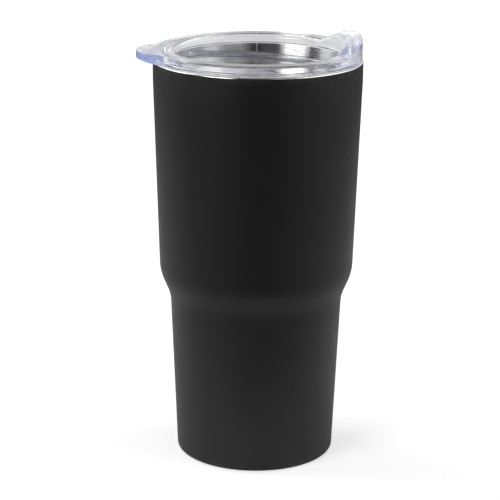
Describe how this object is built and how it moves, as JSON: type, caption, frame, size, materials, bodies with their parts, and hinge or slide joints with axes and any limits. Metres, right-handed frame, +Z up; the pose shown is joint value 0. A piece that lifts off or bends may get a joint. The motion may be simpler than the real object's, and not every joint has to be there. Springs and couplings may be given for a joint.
{
  "type": "insulated tumbler with lid",
  "caption": "Vacuum-insulated two-stage steel tumbler with a matt black shell and a clear press-in lid that has a raised mouthpiece, a sip slot and a thumb tab.",
  "frame": {"origin": "on the cup's axis, in the plane the foot ring stands on", "axes": "+Z up along the cup's axis, +X towards the lid's mouthpiece, -X towards the thumb tab"},
  "size_m": [0.1078, 0.1, 0.2065],
  "materials": {
    "powder_coat": "matt powder coat",
    "plate_steel": "mill",
    "cover_steel": "circular brushed",
    "liner_steel": "electropolished",
    "copper_foil": "bright foil",
    "getter_alloy": "pressed powder",
    "seal_glass": "fused bead",
    "clear_plastic": "clear, polished",
    "silicone": "translucent"
  },
  "bodies": {
    "cup": {"outer_shell": "powder_coat", "outer_bottom": "plate_steel", "vacuum_seal": "seal_glass", "base_cover": "cover_steel", "inner_wall": "liner_steel", "inner_bottom": "liner_steel", "radiation_foil": "copper_foil", "getter": "getter_alloy", "getter_clip": "plate_steel"},
    "seal": {"lid_gasket": "silicone"},
    "lid": {"lid_body": "clear_plastic"}
  },
  "joints": [
    {"name": "lid_lift", "type": "slide", "parent": "cup", "child": "seal", "axis": [0, 0, 1], "range_m": [0, 0.05]},
    {"name": "lid_turn", "type": "hinge", "parent": "seal", "child": "lid", "pos_m": [0, 0, 0.1951], "axis": [0, 0, 1], "continuous": true}
  ]
}
